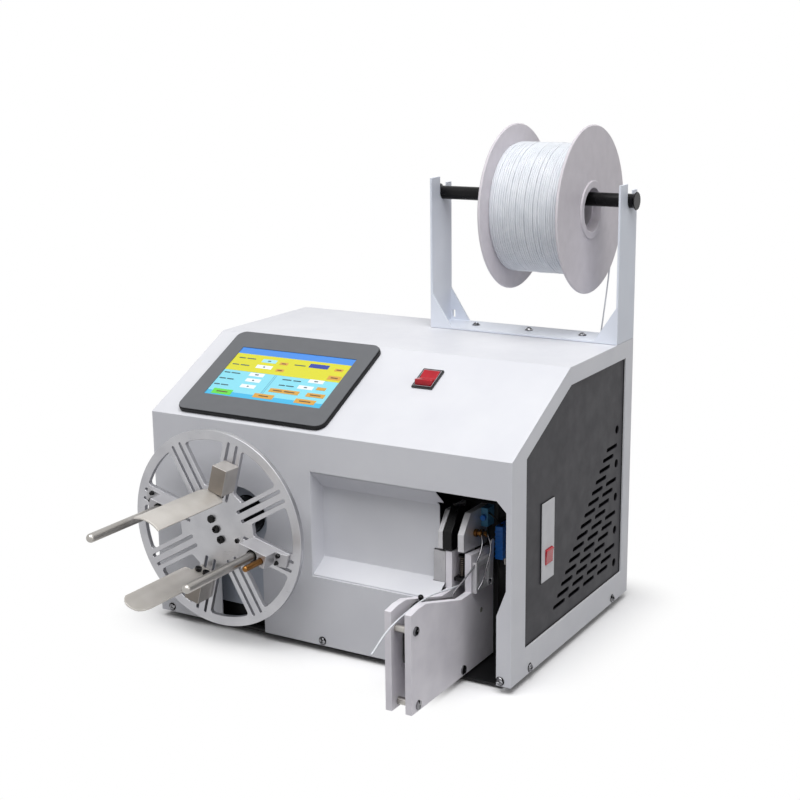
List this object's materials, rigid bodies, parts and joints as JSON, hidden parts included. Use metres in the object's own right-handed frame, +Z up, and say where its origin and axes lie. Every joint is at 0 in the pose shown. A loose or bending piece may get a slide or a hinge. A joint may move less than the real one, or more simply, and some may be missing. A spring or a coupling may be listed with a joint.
{
  "type": "wire coil winding machine",
  "caption": "Bench-top machine that winds cable into coils on a spoked wheel and ties them at a side head, fed from a wire spool on a stand.",
  "frame": {"origin": "on the ground, below the middle of the whole machine's box without its loose wires", "axes": "+X to the right along the front, +Y from the wheel side to the back, +Z up"},
  "size_m": [0.468, 0.5796, 0.5665],
  "materials": {
    "white_powder_coat": "fine satin powder coat",
    "dark_grey_powder_coat": "satin",
    "black_powder_coat": "satin",
    "black_plastic": "moulded",
    "white_plastic": "moulded",
    "red_plastic": "moulded, glossy",
    "blue_plastic": "moulded",
    "light_blue_plastic": "moulded",
    "screen_glass": "glossy film over glass",
    "brushed_aluminium": "brushed and clear anodised",
    "stainless_steel": "ground",
    "black_steel": "black oxide",
    "brass": "turned",
    "rubber": "moulded",
    "spool_plastic": "moulded",
    "wire_plastic": "plastic coated wire"
  },
  "bodies": {
    "machine": {"cover": "white_powder_coat", "pocket_liner": "white_powder_coat", "side_panel_left": "dark_grey_powder_coat", "side_panel_right": "dark_grey_powder_coat", "rear_panel": "dark_grey_powder_coat", "power_inlet": "black_plastic", "wire_grommet": "black_plastic", "base_tray": "black_powder_coat", "foot_front_left": "rubber", "foot_front_right": "rubber", "foot_rear_left": "rubber", "foot_rear_right": "rubber", "motor_plate": "stainless_steel", "motor_bracket": "black_powder_coat", "bearing_housing": "black_steel", "winding_motor": "black_steel", "touch_screen_housing": "black_plastic", "touch_screen_glass": "screen_glass", "start_switch_body": "black_plastic", "breaker_body": "white_plastic", "guide_plate_left": "brushed_aluminium", "guide_plate_right": "brushed_aluminium", "spacer_upper": "stainless_steel", "spacer_lower": "stainless_steel", "spacer_rear": "stainless_steel", "hook_pin": "stainless_steel", "cheek_left": "brushed_aluminium", "cheek_right": "brushed_aluminium", "jaw_pin": "stainless_steel", "side_block": "brushed_aluminium", "side_frame": "brushed_aluminium", "tying_head_body": "black_powder_coat", "nozzle_front": "brass", "nozzle_rear": "brass", "air_block": "light_blue_plastic", "solenoid": "blue_plastic", "spring_post": "black_steel", "return_spring": "stainless_steel", "spool_stand": "white_powder_coat", "tie_wire": "wire_plastic", "feed_wire": "wire_plastic"},
    "wheel": {"winding_disc": "brushed_aluminium", "drive_hub": "black_steel"},
    "carrier_top": {"carrier_block_top": "brushed_aluminium", "coil_plate_top": "stainless_steel"},
    "carrier_bottom": {"carrier_block_bottom": "brushed_aluminium", "coil_plate_bottom": "stainless_steel"},
    "carrier_right": {"carrier_block_right": "brushed_aluminium", "coil_rod_right": "stainless_steel"},
    "carrier_left": {"carrier_block_left": "brushed_aluminium", "coil_rod_left": "stainless_steel"},
    "clip_pin": {"clip_pin": "brass"},
    "start_rocker": {"start_rocker": "red_plastic"},
    "breaker_rocker": {"breaker_rocker": "red_plastic"},
    "hook_arm": {"hook_arm": "black_steel"},
    "clamp_jaw": {"clamp_jaw": "black_steel"},
    "spool_rod": {"spool_rod": "black_steel"},
    "spool": {"spool": "spool_plastic", "wire_pack": "wire_plastic", "wire_winding": "wire_plastic"}
  },
  "joints": [
    {"name": "wheel_turn", "type": "hinge", "parent": "machine", "child": "wheel", "pos_m": [-0.1145, -0.14675, 0.1395], "axis": [0, 1, 0], "continuous": true},
    {"name": "carrier_top_slide", "type": "slide", "parent": "wheel", "child": "carrier_top", "axis": [0.2588, 0, 0.9659], "range_m": [-0.01, 0.018]},
    {"name": "carrier_bottom_slide", "type": "slide", "parent": "wheel", "child": "carrier_bottom", "axis": [-0.2588, 0, -0.9659], "range_m": [-0.01, 0.018]},
    {"name": "carrier_right_slide", "type": "slide", "parent": "wheel", "child": "carrier_right", "axis": [0.9659, 0, -0.2588], "range_m": [-0.01, 0.018]},
    {"name": "carrier_left_slide", "type": "slide", "parent": "wheel", "child": "carrier_left", "axis": [-0.9659, 0, 0.2588], "range_m": [-0.01, 0.018]},
    {"name": "clip_pin_pull", "type": "slide", "parent": "carrier_right", "child": "clip_pin", "axis": [0, -1, 0], "range_m": [0, 0.005], "stiffness_N_per_m": 300, "springref_m": -0.002},
    {"name": "start_rocker_tilt", "type": "hinge", "parent": "machine", "child": "start_rocker", "pos_m": [0.0755, -0.00874, 0.29989], "axis": [1, 0, 0], "range_deg": [0, 20]},
    {"name": "breaker_rocker_tilt", "type": "hinge", "parent": "machine", "child": "breaker_rocker", "pos_m": [0.22627, -0.01475, 0.1245], "axis": [0, 1, 0], "range_deg": [-20, 0]},
    {"name": "hook_swing", "type": "hinge", "parent": "machine", "child": "hook_arm", "pos_m": [0.15325, -0.06075, 0.068], "axis": [1, 0, 0], "range_deg": [0, 15]},
    {"name": "jaw_lift", "type": "hinge", "parent": "machine", "child": "clamp_jaw", "pos_m": [0.141, -0.04275, 0.158], "axis": [1, 0, 0], "range_deg": [-6, 0]},
    {"name": "rod_lift", "type": "slide", "parent": "machine", "child": "spool_rod", "axis": [0, 0, 1], "range_m": [0, 0.04]},
    {"name": "spool_turn", "type": "hinge", "parent": "spool_rod", "child": "spool", "pos_m": [0.12975, 0.19325, 0.47], "axis": [1, 0, 0], "continuous": true}
  ]
}
